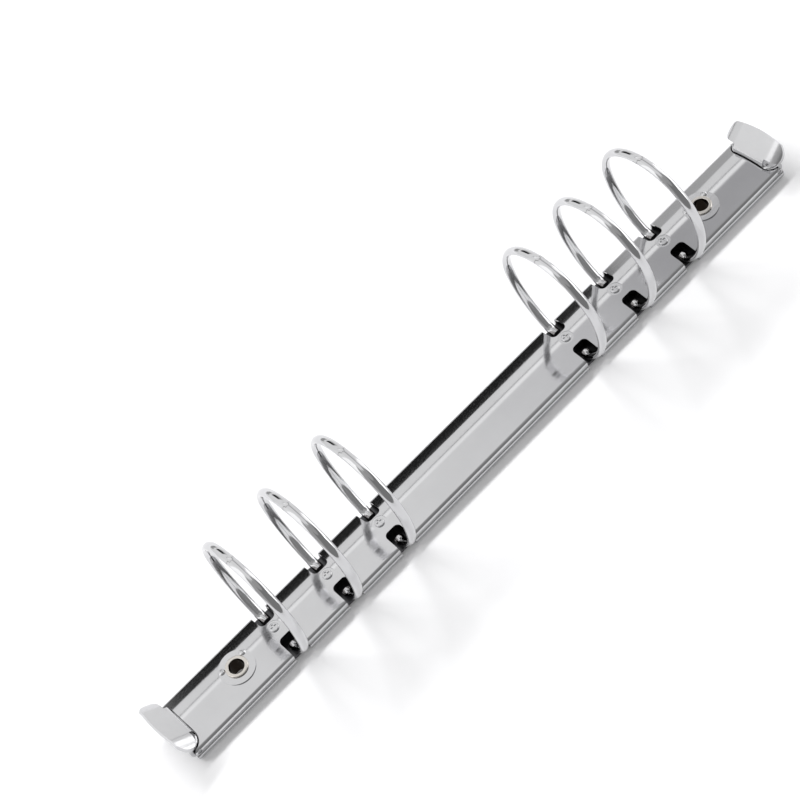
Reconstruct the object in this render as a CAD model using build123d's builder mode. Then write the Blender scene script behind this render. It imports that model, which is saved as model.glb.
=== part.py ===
from build123d import *
import os
from math import asin, cos, degrees, radians, sin

os.makedirs("parts", exist_ok=True)

# Millimetres and degrees. X runs along the mechanism, Y across it and Z up from the
# surface it is riveted to. The origin is the middle of that surface.

# Hole pattern of the sheets: two groups of three holes
ring_pitch = 19.0
group_gap = 70.0
ring_positions = [
    end * (group_gap / 2 + step * ring_pitch) for end in (-1, 1) for step in (0, 1, 2)
]
ring_positions.sort()

# Cover: one pressed sheet with an arched roof, side walls and hems turned in under them
roof_end = 105.7
roof_width = 17.5
cover_height = 4.8
cover_sheet = 0.6
roof_radius = 30.0
shoulder_radius = 1.3
hem_bulge = 0.35
hem_height = 2.1
hem_radius = 0.85
hem_lip = 2.1
ear_reach = 3.9
ear_height = 3.7
ear_corner = 1.4
ear_step = 2.2
roof_corner = 3.5

# Windows that let the half rings out through the walls
window_length = 5.0
window_inner_end = 3.1
window_corner = 1.4

# Round boss under each eyelet, with two pressed nubs beside the eyelet
eyelet_spacing = 174.0
boss_radius = 5.0
boss_rise = 0.08
boss_depth = 1.6
nub_distance = 4.1
nub_angle = 30.0
nub_radius = 0.95
nub_height = 0.5

# Coined pip on the roof beside each ring
pip_shift = -0.4
pip_offset = 0.7
pip_dish_radius = 2.1
pip_dish_floor = 4.62
pip_radius = 1.35
pip_height = 0.45
pip_corner = 0.3
pip_dent_width = 0.5
pip_dent_length = 1.7
pip_dent_depth = 0.25

# Eyelet: a short tube with a rolled head
eyelet_bore = 2.1
eyelet_wall = 0.4
eyelet_clearance = 0.04
eyelet_head_radius = 3.1
eyelet_head_height = 0.5
eyelet_roll = 0.24

# Hinge plates, drawn as they stand with the rings closed
plate_sheet = 0.8
hinge_offset = 8.0
hinge_height = 1.3
closed_droop = 3.5
plate_overhang = 0.15
plate_half_gap = 0.15
plate_end_gap = 0.8
plate_corner = 0.8
finger_width = 7.0
finger_reach = 0.8
finger_side_clearance = 0.3
finger_end_clearance = 0.4
left_fingers = (-64.0, 22.0)
right_fingers = (-22.0, 64.0)
eyelet_notch_clearance = 0.6
end_tab_width = 4.2
end_tab_length = 2.0
end_tab_overlap = 0.8
end_tab_side_gap = 0.4
end_tab_joggle = 0.6

# Half rings, bent from flat oval wire
wire_width = 2.7
wire_thickness = 1.9
wire_edge_radius = 0.6
ring_radius = 16.5
ring_side_radius = 25.0
ring_centre_height = 22.0
foot_bend = 4.0
foot_end = 5.2
tip_gap = 0.1
step_length = 0.7
step_half_width = 0.65
step_taper = 0.15
step_clearance = 0.08
tenon_length = 1.6
tenon_width = 1.0
tenon_inset = 0.6
tenon_clearance = 0.03

# Levers, each bent from one sheet, with the ends of the handle curled back
lever_sheet = 0.8
lever_gap = 0.3
lever_side_gap = 0.4
lug_height = 4.6
lug_floor = 0.3
lug_edge = 0.7
lug_opening = 3.2
lug_shelf_reach = 1.1
lug_shelf_depth = 1.2
lug_hole_radius = 0.4
lug_hole_inset = 1.5
tongue_reach = 0.9
tongue_floor = 0.1
tongue_width = 2.4
lever_inner_bend = 0.6
lever_outer_bend = 1.2
bend_height = 6.2
neck_width = 10.4
handle_angle = 37.0
handle_length = 7.5
handle_flat = 10.6
handle_curl_radius = 6.4
handle_curl_angle = 39.0
handle_curl_trim = 12.0
handle_shoulder = 1.1
handle_shoulder_corner = 1.6
handle_corner = 4.2
handle_crown_radius = 34.0
cheek_radius = 2.2

# Pin that each lever turns on, riveted flush in the ears
pin_inset = 1.3
pin_height = 2.75
pin_radius = 0.6
pin_clearance = 0.05
pin_hole_clearance = 0.02
pin_sunk = 0.1
pin_end_round = 0.2

half_width = roof_width / 2
hem_half_width = half_width + hem_bulge
inner_wall = half_width - cover_sheet
hem_inner = hem_half_width - cover_sheet
ear_end = roof_end + ear_reach
plate_end = roof_end - plate_end_gap
pin_position = ear_end - pin_inset
tongue_tip = plate_end - tongue_reach
eyelet_radius = eyelet_bore + eyelet_wall
eyelet_seat = cover_height + boss_rise
eyelet_x = eyelet_spacing / 2
tenon_y = foot_end + tenon_inset
wire_edge_centre = wire_width / 2 - wire_edge_radius
wire_face_radius = (
    wire_edge_centre ** 2 + (wire_thickness / 2) ** 2 - wire_edge_radius ** 2
) / (wire_thickness - 2 * wire_edge_radius)


# Cover: the filled outer form first, then the hollow, so the sheet keeps its thickness
with BuildPart() as cover:
    with BuildSketch(Plane.YZ.offset(-ear_end)) as outer_section:
        with Locations((0, cover_sheet)):
            Rectangle(roof_width, 2 * cover_height, align=(Align.CENTER, Align.MIN))
        with Locations((0, cover_height - roof_radius)):
            Circle(roof_radius, mode=Mode.INTERSECT)
        fillet(outer_section.vertices().group_by(Axis.Y)[-1], shoulder_radius)
        with Locations((0, hem_height / 2)):
            RectangleRounded(2 * hem_half_width, hem_height, hem_radius)
    extrude(amount=2 * ear_end)

    # Side view: the low rounded ears reach past the roof
    with BuildSketch(Plane.XZ) as side_view:
        with Locations((0, ear_height / 2)):
            RectangleRounded(2 * ear_end, ear_height, ear_corner)
        Rectangle(
            2 * (roof_end + ear_step), cover_height, align=(Align.CENTER, Align.MIN)
        )
    extrude(amount=hem_half_width, both=True, mode=Mode.INTERSECT)

    # Bosses and nubs, raised before the hollow is taken out
    with BuildSketch(Plane.XY.offset(eyelet_seat)) as bosses:
        with Locations((-eyelet_x, 0), (eyelet_x, 0)):
            Circle(boss_radius)
    extrude(amount=-boss_depth)
    nub_sphere = (nub_radius ** 2 + nub_height ** 2) / (2 * nub_height)
    nub_x = nub_distance * cos(radians(nub_angle))
    nub_y = nub_distance * sin(radians(nub_angle))
    with Locations(
        *[
            (end * eyelet_x + side * nub_x, nub_y, eyelet_seat + nub_height - nub_sphere)
            for end in (-1, 1)
            for side in (-1, 1)
        ]
    ):
        Sphere(nub_sphere)

    # Pips: a flat coined dish with a button that carries a cross dent
    pip_spots = [(x + pip_shift, pip_offset) for x in ring_positions]
    with BuildSketch(Plane.XY.offset(pip_dish_floor)) as pip_dishes:
        with Locations(*pip_spots):
            Circle(pip_dish_radius)
    extrude(amount=cover_height, mode=Mode.SUBTRACT)
    with BuildSketch(Plane.XY.offset(pip_dish_floor)) as pip_buttons:
        with Locations(*pip_spots):
            Circle(pip_radius)
    extrude(amount=pip_height)
    pip_top = pip_dish_floor + pip_height
    pip_rims = [
        edge
        for edge in cover.edges().filter_by(GeomType.CIRCLE)
        if abs(edge.radius - pip_radius) < 0.01 and abs(edge.center().Z - pip_top) < 0.01
    ]
    fillet(pip_rims, pip_corner)
    with BuildSketch(Plane.XY.offset(pip_top)) as pip_dents:
        with Locations(*pip_spots):
            Rectangle(pip_dent_length, pip_dent_width)
            Rectangle(pip_dent_width, pip_dent_length)
    extrude(amount=-pip_dent_depth, mode=Mode.SUBTRACT)

    # Hollow between the walls, above the hems
    with BuildSketch(Plane.YZ.offset(-ear_end)) as inner_section:
        with Locations((0, cover_sheet)):
            Rectangle(2 * inner_wall, 2 * cover_height, align=(Align.CENTER, Align.MIN))
        with Locations((0, cover_height - roof_radius)):
            Circle(roof_radius - cover_sheet, mode=Mode.INTERSECT)
        fillet(
            inner_section.vertices().group_by(Axis.Y)[-1], shoulder_radius - cover_sheet
        )
        with Locations((0, hem_height / 2 + cover_sheet / 4)):
            RectangleRounded(
                2 * hem_inner, hem_height - 1.5 * cover_sheet, hem_radius - cover_sheet
            )
    extrude(amount=2 * ear_end, mode=Mode.SUBTRACT)
    with BuildSketch() as hem_opening:
        Rectangle(2 * ear_end, 2 * (hem_half_width - hem_lip))
    extrude(amount=2 * cover_sheet, mode=Mode.SUBTRACT)
    with BuildSketch(Plane.XY.offset(eyelet_seat - cover_sheet)) as boss_hollows:
        with Locations((-eyelet_x, 0), (eyelet_x, 0)):
            Circle(boss_radius - cover_sheet)
    extrude(amount=-boss_depth, mode=Mode.SUBTRACT)
    with BuildSketch(Plane.XY.offset(eyelet_seat)) as eyelet_holes:
        with Locations((-eyelet_x, 0), (eyelet_x, 0)):
            Circle(eyelet_radius + eyelet_clearance)
    extrude(amount=-boss_depth, mode=Mode.SUBTRACT)

    # Ends of the roof, cut back between the ears with rounded inside corners
    end_length = 2 * (ear_end - roof_end)
    for end in (-1, 1):
        with BuildSketch() as end_cut:
            with Locations((end * (roof_end + end_length / 2), 0)):
                Rectangle(end_length, 2 * inner_wall)
            fillet(end_cut.vertices().sort_by_distance((0, 0, 0))[:2], roof_corner)
        extrude(amount=cover_height, mode=Mode.SUBTRACT)

    # Windows through roof edge, wall and hem
    window_depth = hem_half_width + window_corner - window_inner_end
    window_y = window_inner_end + window_depth / 2
    with BuildSketch() as windows:
        with Locations(*[(x, side * window_y) for x in ring_positions for side in (-1, 1)]):
            RectangleRounded(window_length, window_depth, window_corner)
    extrude(amount=cover_height, mode=Mode.SUBTRACT)

    # Holes in the ears for the lever pins
    with BuildSketch(Plane.XZ) as pin_holes:
        with Locations((-pin_position, pin_height), (pin_position, pin_height)):
            Circle(pin_radius + pin_hole_clearance)
    extrude(amount=half_width, both=True, mode=Mode.SUBTRACT)

cover.part.label = "cover"
export_step(cover.part, "parts/cover.step")


# Eyelets: tube and rolled head turned about their own upright axis
for place, end in (("near", -1), ("far", 1)):
    with BuildPart() as eyelet:
        with BuildSketch(Plane.XZ) as eyelet_section:
            with Locations((end * eyelet_x + eyelet_bore, 0)):
                Rectangle(
                    eyelet_wall,
                    eyelet_seat + eyelet_head_height / 2,
                    align=(Align.MIN, Align.MIN),
                )
            with Locations((end * eyelet_x + eyelet_bore, eyelet_seat)):
                with Locations(
                    (
                        (eyelet_head_radius - eyelet_bore) / 2,
                        eyelet_head_height / 2,
                    )
                ):
                    RectangleRounded(
                        eyelet_head_radius - eyelet_bore, eyelet_head_height, eyelet_roll
                    )
        revolve(axis=Axis((end * eyelet_x, 0, 0), (0, 0, 1)))
    eyelet.part.label = f"eyelet_{place}"
    export_step(eyelet.part, f"parts/eyelet_{place}.step")


def plate_plane(side):
    """Mid plane of a hinge plate at rest: origin on its hinge line, X along the mechanism."""
    lean = radians(closed_droop)
    return Plane(
        origin=(0, side * hinge_offset, hinge_height),
        x_dir=(1, 0, 0),
        z_dir=(0, -side * sin(lean), cos(lean)),
    )


def build_hinge_plate(side, own_fingers, other_fingers):
    """Hinge plate of one side: its fingers pass through notches of the other plate."""
    plate_width = hinge_offset - plate_half_gap + plate_overhang
    inner_edge = hinge_offset - plate_half_gap
    shank = eyelet_radius + eyelet_notch_clearance
    middle = plate_plane(side)
    with BuildPart() as plate:
        with BuildSketch(middle.offset(-plate_sheet / 2)) as outline:
            with Locations((0, -side * (plate_width / 2 - plate_overhang))):
                RectangleRounded(2 * plate_end, plate_width, plate_corner)
            with Locations(*[(x, -side * inner_edge) for x in own_fingers]):
                Rectangle(finger_width, 2 * (finger_reach + plate_half_gap))
            with Locations(*[(x, -side * inner_edge) for x in other_fingers]):
                Rectangle(
                    finger_width + 2 * finger_side_clearance,
                    2 * (finger_reach + finger_end_clearance - plate_half_gap),
                    mode=Mode.SUBTRACT,
                )
            with Locations((-eyelet_x, -side * hinge_offset), (eyelet_x, -side * hinge_offset)):
                Circle(shank, mode=Mode.SUBTRACT)
            with Locations(
                *[
                    (end * plate_end, -side * hinge_offset)
                    for end in (-1, 1)
                ]
            ):
                Rectangle(
                    2 * end_tab_length,
                    2 * (end_tab_width + end_tab_side_gap),
                    mode=Mode.SUBTRACT,
                )
            with Locations(*[(x, -side * (hinge_offset - tenon_y)) for x in ring_positions]):
                Rectangle(
                    tenon_length + 2 * tenon_clearance,
                    tenon_width + 2 * tenon_clearance,
                    mode=Mode.SUBTRACT,
                )
        extrude(amount=plate_sheet)

        # End tabs joggled up over the lever tongues
        tab_run = end_tab_length + end_tab_overlap
        tab_span = end_tab_width - plate_half_gap
        with BuildSketch(middle.offset(end_tab_joggle - plate_sheet / 2)) as end_tabs:
            with Locations(
                *[
                    (
                        end * (plate_end - tab_run / 2),
                        -side * (hinge_offset - plate_half_gap - tab_span / 2),
                    )
                    for end in (-1, 1)
                ]
            ):
                Rectangle(tab_run, tab_span)
        extrude(amount=plate_sheet)
    return plate.part


hinge_plate_left = build_hinge_plate(1, left_fingers, right_fingers)
hinge_plate_left.label = "hinge_plate_left"
export_step(hinge_plate_left, "parts/hinge_plate_left.step")

hinge_plate_right = build_hinge_plate(-1, right_fingers, left_fingers)
hinge_plate_right.label = "hinge_plate_right"
export_step(hinge_plate_right, "parts/hinge_plate_right.step")


def build_half_ring(x, has_tongue):
    """Half ring on the +Y side at x: foot on the hinge plate, flank, then half the loop."""
    lean = radians(closed_droop)
    seat = (plate_sheet + wire_thickness) / 2
    flank_y = ring_radius - ring_side_radius
    bend_reach = ring_side_radius - foot_bend
    drop = cos(lean) * (ring_centre_height - hinge_height)
    shift = sin(lean) * (flank_y - hinge_offset)
    flank_angle = asin((drop - shift - foot_bend - seat) / bend_reach) - lean
    bend_y = flank_y + bend_reach * cos(flank_angle)
    bend_z = ring_centre_height - bend_reach * sin(flank_angle)
    seat_y = bend_y + foot_bend * sin(lean)
    seat_z = bend_z - foot_bend * cos(lean)
    foot_run = (seat_y - foot_end) / cos(lean)
    tip = step_length if has_tongue else -tip_gap / 2

    with BuildPart() as half_ring:
        with BuildLine(Plane.YZ.offset(x)) as wire:
            Line((foot_end, seat_z - foot_run * sin(lean)), (seat_y, seat_z))
            CenterArc(
                (bend_y, bend_z),
                foot_bend,
                closed_droop - 90,
                90 - closed_droop - degrees(flank_angle),
            )
            CenterArc(
                (flank_y, ring_centre_height),
                ring_side_radius,
                -degrees(flank_angle),
                degrees(flank_angle),
            )
            CenterArc(
                (0, ring_centre_height),
                ring_radius,
                0,
                90 + degrees(asin(tip / ring_radius)),
            )
        path = wire.wires()[0]
        with BuildSketch(
            Plane(origin=path @ 0, x_dir=(1, 0, 0), z_dir=path % 0)
        ) as wire_section:
            with Locations((0, wire_thickness / 2 - wire_face_radius)):
                Circle(wire_face_radius)
            with Locations((0, wire_face_radius - wire_thickness / 2)):
                Circle(wire_face_radius, mode=Mode.INTERSECT)
            fillet(wire_section.vertices(), wire_edge_radius)
        sweep(path=path)

        # Tenon staked through the plate
        with BuildSketch(plate_plane(1).offset(-plate_sheet / 2)) as tenon:
            with Locations((x, tenon_y - hinge_offset)):
                Rectangle(tenon_length, tenon_width)
        extrude(amount=plate_sheet + wire_thickness / 2)

        # Stepped joint at the top: the tongue of one half enters the recess of the other
        room = 0 if has_tongue else step_clearance
        reach = -step_length if has_tongue else step_length + step_clearance
        base = step_half_width + room
        nose = base - step_taper
        with BuildSketch(Plane.XY.offset(ring_centre_height)) as joint:
            with Locations((x, tip_gap / 2)):
                Rectangle(2 * wire_width, wire_width, align=(Align.CENTER, Align.MAX))
            with BuildLine():
                Polyline(
                    (x - base, tip_gap / 2),
                    (x - nose, reach),
                    (x + nose, reach),
                    (x + base, tip_gap / 2),
                    close=True,
                )
            make_face(mode=Mode.SUBTRACT if has_tongue else Mode.ADD)
        extrude(amount=2 * ring_radius, mode=Mode.SUBTRACT)
    return half_ring.part


for number, x in enumerate(ring_positions, 1):
    half_ring_left = build_half_ring(x, True)
    half_ring_left.label = f"half_ring_left_{number}"
    export_step(half_ring_left, f"parts/half_ring_left_{number}.step")
    half_ring_right = mirror(build_half_ring(x, False), about=Plane.XZ)
    half_ring_right.label = f"half_ring_right_{number}"
    export_step(half_ring_right, f"parts/half_ring_right_{number}.step")


# Bent strip of the lever: tongue, web and the first part of the handle
lever_x = roof_end + lever_gap + lever_sheet / 2
lean_x = cos(radians(handle_angle))
lean_z = sin(radians(handle_angle))
handle_joint = 2 * handle_shoulder
with BuildPart() as lever_strip:
    with BuildSketch(Plane.XZ) as strip_section:
        with BuildLine():
            FilletPolyline(
                (tongue_tip, tongue_floor + lever_sheet / 2),
                (lever_x, tongue_floor + lever_sheet / 2),
                (lever_x, bend_height),
                (lever_x + handle_joint * lean_x, bend_height + handle_joint * lean_z),
                radius=(lever_inner_bend, lever_outer_bend),
            )
        trace(line_width=lever_sheet)
    extrude(amount=neck_width / 2, both=True)
    with BuildSketch(Plane.YZ.offset(tongue_tip - lever_sheet)) as front_view:
        Rectangle(tongue_width, 2 * cover_height)
        with Locations((0, lug_floor + lever_sheet)):
            Rectangle(neck_width, 2 * bend_height, align=(Align.CENTER, Align.MIN))
    extrude(amount=2 * handle_length, mode=Mode.INTERSECT)

# Handle: flat in the middle, curled back at both ends, with a rounded outline
handle_root = Plane(
    origin=(lever_x, 0, bend_height), x_dir=(0, 1, 0), z_dir=(lean_x, 0, lean_z)
)
handle_face = Plane(
    origin=(lever_x, 0, bend_height), x_dir=(0, -1, 0), z_dir=(-lean_z, 0, lean_x)
)
handle_half_flat = handle_flat / 2
handle_half_width = handle_half_flat + handle_curl_radius * sin(radians(handle_curl_angle))
with BuildPart() as lever_handle:
    with BuildSketch(handle_root.offset(handle_shoulder / 2)) as curled_section:
        with BuildLine():
            Line((-handle_half_flat, 0), (handle_half_flat, 0))
            CenterArc(
                (handle_half_flat, -handle_curl_radius),
                handle_curl_radius,
                90,
                -handle_curl_angle - handle_curl_trim,
            )
            CenterArc(
                (-handle_half_flat, -handle_curl_radius),
                handle_curl_radius,
                90,
                handle_curl_angle + handle_curl_trim,
            )
        trace(line_width=lever_sheet)
    extrude(amount=handle_length)
    with BuildSketch(handle_face.offset(-2 * handle_curl_radius)) as handle_outline:
        with BuildLine():
            FilletPolyline(
                (-neck_width / 2, 0),
                (-neck_width / 2, handle_shoulder),
                (-handle_half_width, handle_shoulder),
                (-handle_half_width, handle_length),
                (handle_half_width, handle_length),
                (handle_half_width, handle_shoulder),
                (neck_width / 2, handle_shoulder),
                (neck_width / 2, 0),
                radius=(
                    0,
                    0,
                    handle_shoulder_corner,
                    handle_corner,
                    handle_corner,
                    handle_shoulder_corner,
                    0,
                    0,
                ),
                close=True,
            )
        make_face()
        with Locations((0, handle_length - handle_crown_radius)):
            Circle(handle_crown_radius, mode=Mode.INTERSECT)
    extrude(amount=3 * handle_curl_radius, mode=Mode.INTERSECT)

# Lever: drawn lug with a cheek on each side, joined to the strip and bored for the pin
lug_start = roof_end + lever_gap
lug_half_width = inner_wall - lever_side_gap
lug_length = pin_position + cheek_radius - lug_start
with BuildPart() as lever_far:
    with BuildSketch(Plane.XY.offset(lug_floor)) as lug_outline:
        with Locations((lug_start, 0)):
            Rectangle(lug_length, 2 * lug_half_width, align=(Align.MIN, Align.CENTER))
        fillet(lug_outline.vertices().group_by(Axis.X)[0], roof_corner - lever_side_gap)
    extrude(amount=lug_height - lug_floor)
    with BuildSketch(Plane.XY.offset(lug_floor)) as lug_hollow:
        with Locations((lug_start + lever_sheet, 0)):
            Rectangle(
                lug_length,
                2 * (lug_half_width - lever_sheet),
                align=(Align.MIN, Align.CENTER),
            )
        fillet(
            lug_hollow.vertices().group_by(Axis.X)[0],
            roof_corner - lever_side_gap - lever_sheet,
        )
    extrude(amount=lug_height - lug_floor - lever_sheet, mode=Mode.SUBTRACT)
    fillet(lever_far.faces().sort_by(Axis.Z)[-1].edges(), lug_edge)
    with BuildSketch(Plane.XY.offset(lug_floor)) as lug_middle:
        with Locations((lug_start + lever_sheet, 0)):
            Rectangle(lug_length, 2 * lug_opening, align=(Align.MIN, Align.CENTER))
    extrude(amount=lug_height, mode=Mode.SUBTRACT)
    with BuildSketch(Plane.XZ) as cheek_view:
        with Locations((pin_position, pin_height)):
            Circle(cheek_radius)
        with Locations((lug_start, lug_floor)):
            Rectangle(
                pin_position - lug_start,
                lug_height - lug_floor,
                align=(Align.MIN, Align.MIN),
            )
        with Locations((lug_start, lug_height - lug_shelf_depth)):
            Rectangle(
                pin_position + lug_shelf_reach - lug_start,
                lug_shelf_depth,
                align=(Align.MIN, Align.MIN),
            )
    extrude(amount=half_width, both=True, mode=Mode.INTERSECT)
    add(lever_strip.part)
    add(lever_handle.part)
    with BuildSketch(Plane.XZ) as pin_bore:
        with Locations((pin_position, pin_height)):
            Circle(pin_radius + pin_clearance)
    extrude(amount=half_width, both=True, mode=Mode.SUBTRACT)
    with BuildSketch(Plane.XY.offset(lug_height)) as lug_holes:
        with Locations(
            (lug_start + lug_hole_inset, lug_half_width - lug_hole_inset - lever_sheet),
            (lug_start + lug_hole_inset, lug_hole_inset + lever_sheet - lug_half_width),
        ):
            Circle(lug_hole_radius)
    extrude(amount=-2 * lever_sheet, mode=Mode.SUBTRACT)
lever_far.part.label = "lever_far"
export_step(lever_far.part, "parts/lever_far.step")

with BuildPart() as lever_near:
    mirror(lever_far.part, about=Plane.YZ)
lever_near.part.label = "lever_near"
export_step(lever_near.part, "parts/lever_near.step")

# Lever pin, staked in the ears with its rounded ends just below their outer faces
with BuildPart() as lever_pin_far:
    with BuildSketch(Plane.XZ) as pin_section:
        with Locations((pin_position, pin_height)):
            Circle(pin_radius)
    extrude(amount=half_width - pin_sunk, both=True)
    fillet(lever_pin_far.edges().filter_by(GeomType.CIRCLE), pin_end_round)
lever_pin_far.part.label = "lever_pin_far"
export_step(lever_pin_far.part, "parts/lever_pin_far.step")

with BuildPart() as lever_pin_near:
    mirror(lever_pin_far.part, about=Plane.YZ)
lever_pin_near.part.label = "lever_pin_near"
export_step(lever_pin_near.part, "parts/lever_pin_near.step")
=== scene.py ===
from math import cos, radians, sin

import bpy
from mathutils import Matrix, Vector

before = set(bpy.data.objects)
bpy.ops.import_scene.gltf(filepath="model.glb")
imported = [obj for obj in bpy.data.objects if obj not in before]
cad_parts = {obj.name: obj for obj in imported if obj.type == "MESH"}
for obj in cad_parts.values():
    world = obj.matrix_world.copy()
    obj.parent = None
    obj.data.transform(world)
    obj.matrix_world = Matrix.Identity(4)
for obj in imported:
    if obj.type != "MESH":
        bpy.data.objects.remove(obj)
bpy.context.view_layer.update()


# Cover: one strip of thin steel pressed to an arched roof with walls, hems, ears and
# bosses, then bright nickel plated all over. It is riveted down and carries the rest.
streak_scale_along = 30.0
streak_scale_across = 1500.0
streak_detail = 4.0
groove_height = 0.00002
cloud_scale = 70.0
cloud_detail = 5.0
cloud_shade = 0.93
cloudy_below = 0.3
clear_above = 0.7
smoothest_share = 0.7
roughest_share = 1.4


def drawn_steel(name, tone, roughness, streak_axis, streak_depth):
    """Pressed or drawn steel, plated or bare, streaked along one axis of the part."""
    steel = bpy.data.materials.new(name)
    steel.use_nodes = True
    nodes, links = steel.node_tree.nodes, steel.node_tree.links
    shader = nodes["Principled BSDF"]
    shader.inputs["Metallic"].default_value = 1.0

    # Drawing streaks: noise squeezed across and stretched along the streak axis
    place = nodes.new("ShaderNodeTexCoord")
    stretch = nodes.new("ShaderNodeMapping")
    stretch.inputs["Scale"].default_value = [
        streak_scale_along if axis == streak_axis else streak_scale_across
        for axis in "XYZ"
    ]
    links.new(place.outputs["Object"], stretch.inputs["Vector"])
    streaks = nodes.new("ShaderNodeTexNoise")
    streaks.inputs["Scale"].default_value = 1.0
    streaks.inputs["Detail"].default_value = streak_detail
    links.new(stretch.outputs["Vector"], streaks.inputs["Vector"])

    # Broad, faint cloudiness, as a plating bath or oil leaves it
    clouds = nodes.new("ShaderNodeTexNoise")
    clouds.inputs["Scale"].default_value = cloud_scale
    clouds.inputs["Detail"].default_value = cloud_detail
    links.new(place.outputs["Object"], clouds.inputs["Vector"])
    colour = nodes.new("ShaderNodeValToRGB")
    colour.name = "steel_colour"
    cloudy, clear = colour.color_ramp.elements
    cloudy.position = cloudy_below
    cloudy.color = [cloud_shade * channel for channel in tone] + [1.0]
    clear.position = clear_above
    clear.color = list(tone) + [1.0]
    links.new(clouds.outputs["Fac"], colour.inputs["Fac"])
    links.new(colour.outputs["Color"], shader.inputs["Base Color"])

    # The streaks polish unevenly and stand out as fine grooves
    polish = nodes.new("ShaderNodeMapRange")
    polish.inputs["To Min"].default_value = roughness * smoothest_share
    polish.inputs["To Max"].default_value = roughness * roughest_share
    links.new(streaks.outputs["Fac"], polish.inputs["Value"])
    links.new(polish.outputs["Result"], shader.inputs["Roughness"])
    grooves = nodes.new("ShaderNodeBump")
    grooves.inputs["Strength"].default_value = streak_depth
    grooves.inputs["Distance"].default_value = groove_height
    links.new(streaks.outputs["Fac"], grooves.inputs["Height"])
    links.new(grooves.outputs["Normal"], shader.inputs["Normal"])
    return steel


def part_axes(finish):
    """The part's own X, Y and Z as three sockets, in metres."""
    nodes, links = finish.node_tree.nodes, finish.node_tree.links
    place = nodes.new("ShaderNodeTexCoord")
    split = nodes.new("ShaderNodeSeparateXYZ")
    links.new(place.outputs["Object"], split.inputs["Vector"])
    return split.outputs["X"], split.outputs["Y"], split.outputs["Z"]


def measure(finish, operation, *values):
    """One step of arithmetic on sockets and numbers, for a finish that varies by place."""
    step = finish.node_tree.nodes.new("ShaderNodeMath")
    step.operation = operation
    for socket, value in zip(step.inputs, values):
        if isinstance(value, float):
            socket.default_value = value
        else:
            finish.node_tree.links.new(value, socket)
    return step.outputs["Value"]


def distance_from(finish, first, second):
    """Distance from the line where both offsets are nothing."""
    first_squared = measure(finish, "MULTIPLY", first, first)
    second_squared = measure(finish, "MULTIPLY", second, second)
    return measure(finish, "SQRT", measure(finish, "ADD", first_squared, second_squared))


def within(finish, offset, reach):
    """1 where the offset to either side is less than the reach."""
    return measure(finish, "LESS_THAN", measure(finish, "ABSOLUTE", offset), reach)


def paint_shade_where(finish, mask, tone):
    """Paints shade into the plating's colour where mask is 1: painted shade in hollows and
    under the cover.
    """
    nodes, links = finish.node_tree.nodes, finish.node_tree.links
    mix = nodes.new("ShaderNodeMix")
    mix.data_type = "RGBA"
    links.new(mask, mix.inputs["Factor"])
    links.new(nodes["steel_colour"].outputs["Color"], mix.inputs["A"])
    mix.inputs["B"].default_value = list(tone) + [1.0]
    links.new(mix.outputs["Result"], nodes["Principled BSDF"].inputs["Base Color"])


def finish_node(name, finish):
    """Gives one CAD node its finish in every material slot it has."""
    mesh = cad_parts[name].data
    for slot in range(len(mesh.materials)):
        mesh.materials[slot] = finish
    if not mesh.materials:
        mesh.materials.append(finish)


roof_radius = 0.030
roof_height = 0.0048
cover_sheet = 0.0006
inside_half_width = 0.0084
cover_nickel = drawn_steel(
    "cover_nickel",
    tone=(0.62, 0.62, 0.63),
    roughness=0.085,
    streak_axis="X",
    streak_depth=0.10,
)

# The inside of the roof, from the middle of the sheet down, gets near-black painted shade
_, across, up = part_axes(cover_nickel)
above_arch_centre = measure(cover_nickel, "ADD", up, roof_radius - roof_height)
from_arch_centre = distance_from(cover_nickel, across, above_arch_centre)
under_roof = measure(
    cover_nickel, "LESS_THAN", from_arch_centre, roof_radius - cover_sheet / 2
)
between_walls = within(cover_nickel, across, inside_half_width)
painted_shade_inside_cover = measure(cover_nickel, "MULTIPLY", under_roof, between_walls)
paint_shade_where(cover_nickel, painted_shade_inside_cover, tone=(0.08, 0.078, 0.075))
finish_node("cover", cover_nickel)


# Eyelets: short brass tubes, nickel plated, rolled over onto the cover's bosses to line
# the rivet holes. Their bores are painted near-black as painted shade.
eyelet_from_middle = 0.087
dark_bore_radius = 0.00216
eyelet_nickel = drawn_steel(
    "eyelet_nickel",
    tone=(0.66, 0.63, 0.59),
    roughness=0.08,
    streak_axis="Z",
    streak_depth=0.1,
)
along, across, _ = part_axes(eyelet_nickel)
either_side = measure(eyelet_nickel, "ABSOLUTE", along)
from_eyelet = measure(eyelet_nickel, "SUBTRACT", either_side, eyelet_from_middle)
from_bore_axis = distance_from(eyelet_nickel, from_eyelet, across)
painted_shade_in_bore = measure(eyelet_nickel, "LESS_THAN", from_bore_axis, dark_bore_radius)
paint_shade_where(eyelet_nickel, painted_shade_in_bore, tone=(0.06, 0.045, 0.035))
for place in ("near", "far"):
    finish_node(f"eyelet_{place}", eyelet_nickel)


# Hinge plates: two thin spring-steel strips under the cover, seen through its windows.
# Their colour is painted near-black as painted shade under the cover, and they are left
# rough.
plate_painted_shade = drawn_steel(
    "plate_painted_shade",
    tone=(0.10, 0.10, 0.105),
    roughness=0.35,
    streak_axis="X",
    streak_depth=0.3,
)
for side in ("left", "right"):
    finish_node(f"hinge_plate_{side}", plate_painted_shade)
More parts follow.
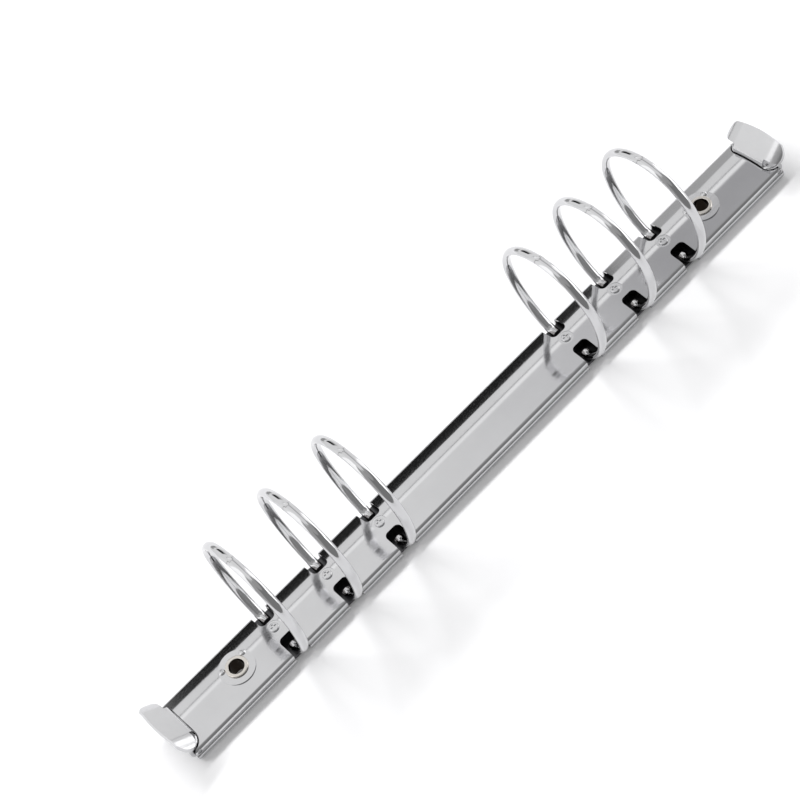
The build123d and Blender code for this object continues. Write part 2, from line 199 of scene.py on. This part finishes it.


# Half rings: flat oval steel wire, bent, staked into the hinge plates and plated bright.
# Their feet, inside the cover, get painted shade in their colour.
ring_count = 6
foot_height = 0.0034
foot_half_width = 0.0068
ring_nickel = drawn_steel(
    "ring_nickel",
    tone=(0.64, 0.64, 0.65),
    roughness=0.08,
    streak_axis="X",
    streak_depth=0.08,
)
_, across, up = part_axes(ring_nickel)
low_down = measure(ring_nickel, "LESS_THAN", up, foot_height)
under_cover = within(ring_nickel, across, foot_half_width)
painted_shade_on_feet = measure(ring_nickel, "MULTIPLY", low_down, under_cover)
paint_shade_where(ring_nickel, painted_shade_on_feet, tone=(0.26, 0.25, 0.25))
for side in ("left", "right"):
    for number in range(1, ring_count + 1):
        finish_node(f"half_ring_{side}_{number}", ring_nickel)


# Levers: each is bent and drawn from one steel sheet, with the ends of its handle curled
# back, and plated bright. Its tongue reaches under the hinge plates.
lever_nickel = drawn_steel(
    "lever_nickel",
    tone=(0.62, 0.62, 0.63),
    roughness=0.19,
    streak_axis="Y",
    streak_depth=0.04,
)
for place in ("near", "far"):
    finish_node(f"lever_{place}", lever_nickel)


# Lever pins: plain steel wire, one through each lever, riveted flush in the cover's
# ears. They aren't plated, so they look duller than what they hold.
pin_steel = drawn_steel(
    "pin_steel",
    tone=(0.50, 0.50, 0.51),
    roughness=0.25,
    streak_axis="Y",
    streak_depth=0.2,
)
for place in ("near", "far"):
    finish_node(f"lever_pin_{place}", pin_steel)


# Studio floor: a small pale sheet that keeps the mechanism's shadow. Looked at or
# mirrored, it is lifted a little towards white.
def add_stage(name, points, faces, material):
    """A piece of the studio: floor or card."""
    mesh = bpy.data.meshes.new(name)
    mesh.from_pydata(points, [], faces)
    mesh.materials.append(material)
    stage = bpy.data.objects.new(name, mesh)
    bpy.context.scene.collection.objects.link(stage)
    return stage


def level_by_ray(tree, lighting, seen):
    """One level for rays that only light, and another for the camera and reflections."""
    rays = tree.nodes.new("ShaderNodeLightPath")
    looked_at = rays.outputs["Is Camera Ray"]
    for ray in ("Is Glossy Ray", "Is Transmission Ray"):
        either = tree.nodes.new("ShaderNodeMath")
        either.operation = "MAXIMUM"
        tree.links.new(looked_at, either.inputs[0])
        tree.links.new(rays.outputs[ray], either.inputs[1])
        looked_at = either.outputs["Value"]
    level = tree.nodes.new("ShaderNodeMapRange")
    level.inputs["To Min"].default_value = lighting
    level.inputs["To Max"].default_value = seen
    tree.links.new(looked_at, level.inputs["Value"])
    return level.outputs["Result"]


floor_half = 0.6
floor_drop = -0.0002
floor_lift = 0.1
floor_paint = bpy.data.materials.new("floor_paint")
floor_paint.use_nodes = True
floor_tree = floor_paint.node_tree
floor_shader = floor_tree.nodes["Principled BSDF"]
floor_shader.inputs["Base Color"].default_value = (0.93, 0.93, 0.94, 1)
floor_shader.inputs["Roughness"].default_value = 0.9
floor_shader.inputs["Emission Color"].default_value = (1.0, 1.0, 1.0, 1)
floor_tree.links.new(
    level_by_ray(floor_tree, lighting=0.0, seen=floor_lift),
    floor_shader.inputs["Emission Strength"],
)
floor_corners = [
    (side * floor_half, end * floor_half, floor_drop)
    for side, end in ((-1, -1), (1, -1), (1, 1), (-1, 1))
]
add_stage("floor", floor_corners, [(0, 1, 2, 3)], floor_paint)


# Studio cards: grey and white card bent round the mechanism, well away from it. Only
# the polished metal sees them, and they give it its bands and streaks.
card_distance = 2.0
card_steps = 12


def card_paint(name, level):
    """Evenly bright paint for a card."""
    paint = bpy.data.materials.new(name)
    paint.use_nodes = True
    shader = paint.node_tree.nodes["Principled BSDF"]
    shader.inputs["Base Color"].default_value = (0, 0, 0, 1)
    shader.inputs["Specular IOR Level"].default_value = 0.0
    shader.inputs["Emission Color"].default_value = (1, 1, 1, 1)
    shader.inputs["Emission Strength"].default_value = level
    return paint


def curved_card(name, place, first_span, second_span, paint):
    """Card over two spans of angle, which place turns into a direction."""
    columns, rows = (
        [radians(start + (end - start) * i / card_steps) for i in range(card_steps + 1)]
        for start, end in (first_span, second_span)
    )
    points = [
        tuple(card_distance * part for part in place(first, second))
        for first in columns
        for second in rows
    ]
    row = card_steps + 1
    faces = [
        (i * row + j, (i + 1) * row + j, (i + 1) * row + j + 1, i * row + j + 1)
        for i in range(card_steps)
        for j in range(card_steps)
    ]
    card = add_stage(name, points, faces, paint)
    card.visible_camera = False
    card.visible_diffuse = False
    card.visible_shadow = False


def by_bearing(bearing, rise):
    """Direction by its bearing from +Y towards +X and its rise above the floor."""
    return (cos(rise) * sin(bearing), cos(rise) * cos(bearing), sin(rise))


def over_cover(lean, turn):
    """Direction by its lean from +X and its turn about X, from +Y upwards."""
    return (cos(lean), sin(lean) * cos(turn), sin(lean) * sin(turn))


def wall_card(name, bearings, rises, level):
    """Evenly bright card standing round the mechanism."""
    curved_card(name, by_bearing, bearings, rises, card_paint(name, level))


def roof_card(name, leans, turns, level):
    """Evenly bright card over the cover, which its roof mirrors as a long band."""
    curved_card(name, over_cover, leans, turns, card_paint(name, level))


wall_card("left_softbox", bearings=(-92, -60), rises=(0.5, 66), level=1.5)
wall_card("left_strobe", bearings=(-88, -72), rises=(40, 50), level=7.0)
wall_card("left_edge", bearings=(-60, -42), rises=(0.5, 66), level=1.1)
wall_card("right_strip", bearings=(80, 104), rises=(24, 62), level=1.45)
wall_card("right_low", bearings=(72, 128), rises=(0.5, 24), level=2.4)
wall_card("room_right", bearings=(104, 180), rises=(24, 50), level=0.26)
wall_card("room_right_low", bearings=(128, 180), rises=(0.5, 24), level=0.26)
wall_card("room_left", bearings=(-180, -128), rises=(0.5, 50), level=0.26)
wall_card("room_corner", bearings=(-128, -92), rises=(0.5, 60), level=0.48)
wall_card("room_top_right", bearings=(101, 180), rises=(50, 72), level=0.45)
wall_card("room_top_left", bearings=(-180, -128), rises=(50, 72), level=0.45)
wall_card("horizon_grey", bearings=(-12, 18), rises=(0.5, 11), level=0.42)

roof_card("bright_band", leans=(60, 95), turns=(50, 54), level=1.24)
roof_card("thin_strip", leans=(60, 95), turns=(48.2, 49.2), level=0.35)
roof_card("flank_dark", leans=(69.5, 90), turns=(17, 37.5), level=0.02)
roof_card("flank_grey", leans=(60, 69.5), turns=(17, 37.5), level=0.55)

# One card overhead fades from white to grey towards +X
overhead_leans = (55, 80)
overhead_turns = (55.5, 100)
white_until = 0.42
shoulder_at = 0.64
grey_from = 0.74
fading = card_paint("overhead_fading", 1.0)
fade_nodes, fade_links = fading.node_tree.nodes, fading.node_tree.links
fade_place = fade_nodes.new("ShaderNodeTexCoord")
fade_split = fade_nodes.new("ShaderNodeSeparateXYZ")
fade_ramp = fade_nodes.new("ShaderNodeValToRGB")
fade_shader = fade_nodes["Principled BSDF"]
fade_links.new(fade_place.outputs["Object"], fade_split.inputs["Vector"])
fade_links.new(fade_split.outputs["X"], fade_ramp.inputs["Fac"])
fade_links.new(fade_ramp.outputs["Color"], fade_shader.inputs["Emission Color"])
white_end, grey_end = fade_ramp.color_ramp.elements
white_end.position = white_until
white_end.color = (1.0, 1.0, 1.0, 1)
grey_end.position = grey_from
grey_end.color = (0.52, 0.52, 0.53, 1)
shoulder = fade_ramp.color_ramp.elements.new(shoulder_at)
shoulder.color = (0.76, 0.76, 0.77, 1)
curved_card("overhead_fading", over_cover, overhead_leans, overhead_turns, fading)


# Studio light: an even white sky, dimmer as a light than it looks, and one broad lamp
# behind the mechanism that draws its shadow and isn't mirrored.
sky_light = 0.37
sky_seen = 1.0
world = bpy.data.worlds.new("studio")
bpy.context.scene.world = world
world.use_nodes = True
sky = world.node_tree.nodes["Background"]
sky.inputs["Color"].default_value = (1.0, 1.0, 1.0, 1)
world.node_tree.links.new(
    level_by_ray(world.node_tree, lighting=sky_light, seen=sky_seen),
    sky.inputs["Strength"],
)

lamp_place = Vector((-0.3, 1.75, 2.05))
lamp = bpy.data.lights.new("overhead_softbox", "AREA")
lamp.shape = "RECTANGLE"
lamp.size, lamp.size_y = 3.4, 0.4
lamp.energy = 86.0
softbox = bpy.data.objects.new("overhead_softbox", lamp)
bpy.context.scene.collection.objects.link(softbox)
softbox.location = lamp_place
softbox.rotation_euler = (-lamp_place).to_track_quat("-Z", "Y").to_euler()
softbox.visible_glossy = False


# Camera: a long lens above the near end, looking along the mechanism and down. From
# here the rings stand to each other as they do in the photograph.
camera_place = Vector((-0.14188, -0.32327, 0.4736))
camera_right = Vector((0.69597, -0.65869, -0.28592))
camera_down = Vector((-0.68124, -0.47979, -0.55292))
camera_ahead = Vector((0.22702, 0.57959, -0.78265))
camera_data = bpy.data.cameras.new("camera")
camera_data.lens = 102.1
camera_data.sensor_width = 36.0
camera_data.clip_start = 0.01
camera = bpy.data.objects.new("camera", camera_data)
bpy.context.scene.collection.objects.link(camera)
camera_turn = Matrix((camera_right, -camera_down, -camera_ahead)).transposed().to_4x4()
camera.matrix_world = Matrix.Translation(camera_place) @ camera_turn
bpy.context.scene.camera = camera
bpy.context.scene.view_settings.view_transform = "Standard"
